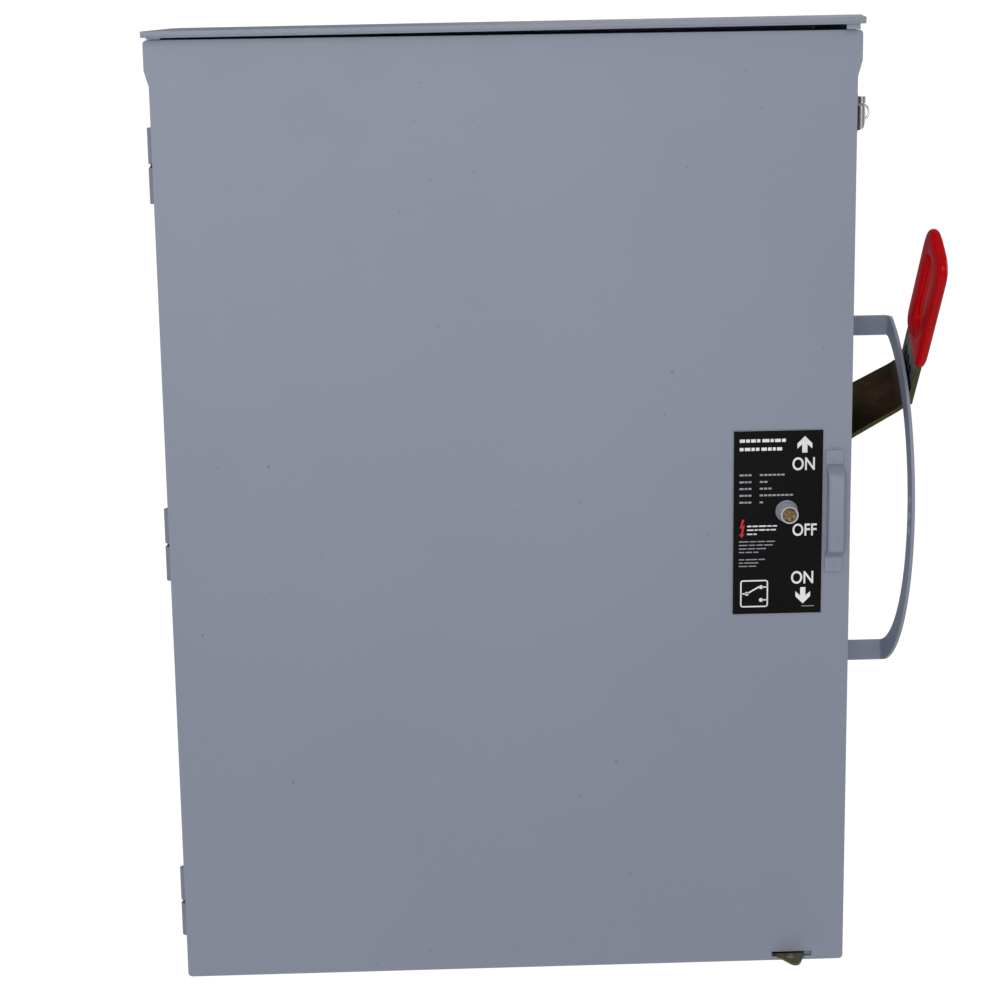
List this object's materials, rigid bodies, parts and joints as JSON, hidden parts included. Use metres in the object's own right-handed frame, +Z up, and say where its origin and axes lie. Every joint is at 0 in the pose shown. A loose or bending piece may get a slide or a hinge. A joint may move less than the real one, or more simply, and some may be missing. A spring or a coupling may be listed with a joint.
{
  "type": "manual transfer switch",
  "caption": "Wall-mounted double-throw safety switch: grey sheet-steel box with hinged door, drip hood, side throw lever with red loop grip, guard, and knife-blade poles inside.",
  "frame": {"origin": "middle of the enclosure's flat back face, which lies on the wall, half way up and across the box", "axes": "+Z up, +Y into the wall, +X to the right as seen from in front"},
  "size_m": [0.7064, 0.3796, 0.9012],
  "materials": {
    "enclosure_paint": "satin grey enamel with fine orange peel",
    "galvanised_steel": "galvanised, faint spangle",
    "yellow_zinc_steel": "yellow zinc chromate, iridescent",
    "bright_zinc_steel": "bright zinc plate",
    "dull_steel": "dull plated spring steel",
    "chrome_plate": "polished",
    "bronze": "satin bronze",
    "copper": "drawn copper bar",
    "tinned_aluminium": "tin plated, satin",
    "red_vinyl": "glossy dipped vinyl",
    "label_film": "printed black film",
    "moulded_insulator": "moulded phenolic"
  },
  "bodies": {
    "enclosure": {"enclosure_body": "enclosure_paint", "enclosure_top": "enclosure_paint", "enclosure_bottom": "enclosure_paint", "drip_hood": "enclosure_paint", "mounting_pan": "galvanised_steel", "box_hinge_leaf_top": "enclosure_paint", "box_hinge_leaf_middle": "enclosure_paint", "box_hinge_leaf_bottom": "enclosure_paint", "padlock_hasp": "yellow_zinc_steel", "side_catch_base": "dull_steel", "throw_guard": "enclosure_paint", "shaft_bushing": "bright_zinc_steel", "mechanism_frame": "galvanised_steel", "upper_insulator": "moulded_insulator", "middle_insulator": "moulded_insulator", "lower_insulator": "moulded_insulator", "load_insulator": "moulded_insulator", "upper_jaw_left": "copper", "upper_jaw_centre": "copper", "upper_jaw_right": "copper", "lower_jaw_left": "copper", "lower_jaw_centre": "copper", "lower_jaw_right": "copper", "load_clip_left": "copper", "load_clip_centre": "copper", "load_clip_right": "copper", "upper_lug_left": "tinned_aluminium", "upper_lug_centre": "tinned_aluminium", "upper_lug_right": "tinned_aluminium", "lower_lug_left": "tinned_aluminium", "lower_lug_centre": "tinned_aluminium", "lower_lug_right": "tinned_aluminium", "load_lug_left": "tinned_aluminium", "load_lug_centre": "tinned_aluminium", "load_lug_right": "tinned_aluminium", "ground_bar": "tinned_aluminium"},
    "door": {"door_hinge_leaf_top": "enclosure_paint", "door_hinge_leaf_middle": "enclosure_paint", "door_hinge_leaf_bottom": "enclosure_paint", "door_panel": "enclosure_paint", "door_pull": "enclosure_paint", "rating_label": "label_film", "lock_housing": "chrome_plate"},
    "lock": {"lock_screw": "bronze", "lock_cam": "bright_zinc_steel"},
    "handle": {"lever_arm": "yellow_zinc_steel", "hand_grip": "red_vinyl", "lever_hub_bolt": "bright_zinc_steel", "drive_shaft": "bright_zinc_steel"},
    "link": {"drive_link": "bright_zinc_steel"},
    "rotor": {"crossbar": "moulded_insulator", "rotor_crank": "bright_zinc_steel", "blade_left": "copper", "blade_centre": "copper", "blade_right": "copper"},
    "catch": {"side_catch_lever": "dull_steel"},
    "ring": {"side_catch_ring": "chrome_plate"}
  },
  "joints": [
    {"name": "door_swing", "type": "hinge", "parent": "enclosure", "child": "door", "pos_m": [-0.319, -0.252, 0], "axis": [0, 0, -1], "range_deg": [0, 120]},
    {"name": "lock_turn", "type": "hinge", "parent": "door", "child": "lock", "pos_m": [0.2576, -0.28, 0.0038], "axis": [0, -1, 0], "range_deg": [0, 90]},
    {"name": "lever_throw", "type": "hinge", "parent": "enclosure", "child": "handle", "pos_m": [0.313, -0.125, 0], "axis": [1, 0, 0], "range_deg": [0, 96]},
    {"name": "link_swing", "type": "hinge", "parent": "handle", "child": "link", "pos_m": [0.1845, -0.09527, 0.02677], "axis": [1, 0, 0], "range_deg": [-96, 0]},
    {"name": "rotor_turn", "type": "hinge", "parent": "enclosure", "child": "rotor", "pos_m": [0, -0.075, 0], "axis": [1, 0, 0], "range_deg": [0, 96]},
    {"name": "catch_swing", "type": "hinge", "parent": "enclosure", "child": "catch", "pos_m": [0.3195, -0.246, 0.3685], "axis": [0, 0, 1], "range_deg": [0, 60]},
    {"name": "ring_swing", "type": "hinge", "parent": "catch", "child": "ring", "pos_m": [0.3252, -0.258, 0.37], "axis": [0, 0, 1], "range_deg": [-60, 80]}
  ],
  "couplings": [
    {"joint": "link_swing", "follows": "lever_throw", "ratio": -1},
    {"joint": "rotor_turn", "follows": "lever_throw", "ratio": 1}
  ]
}
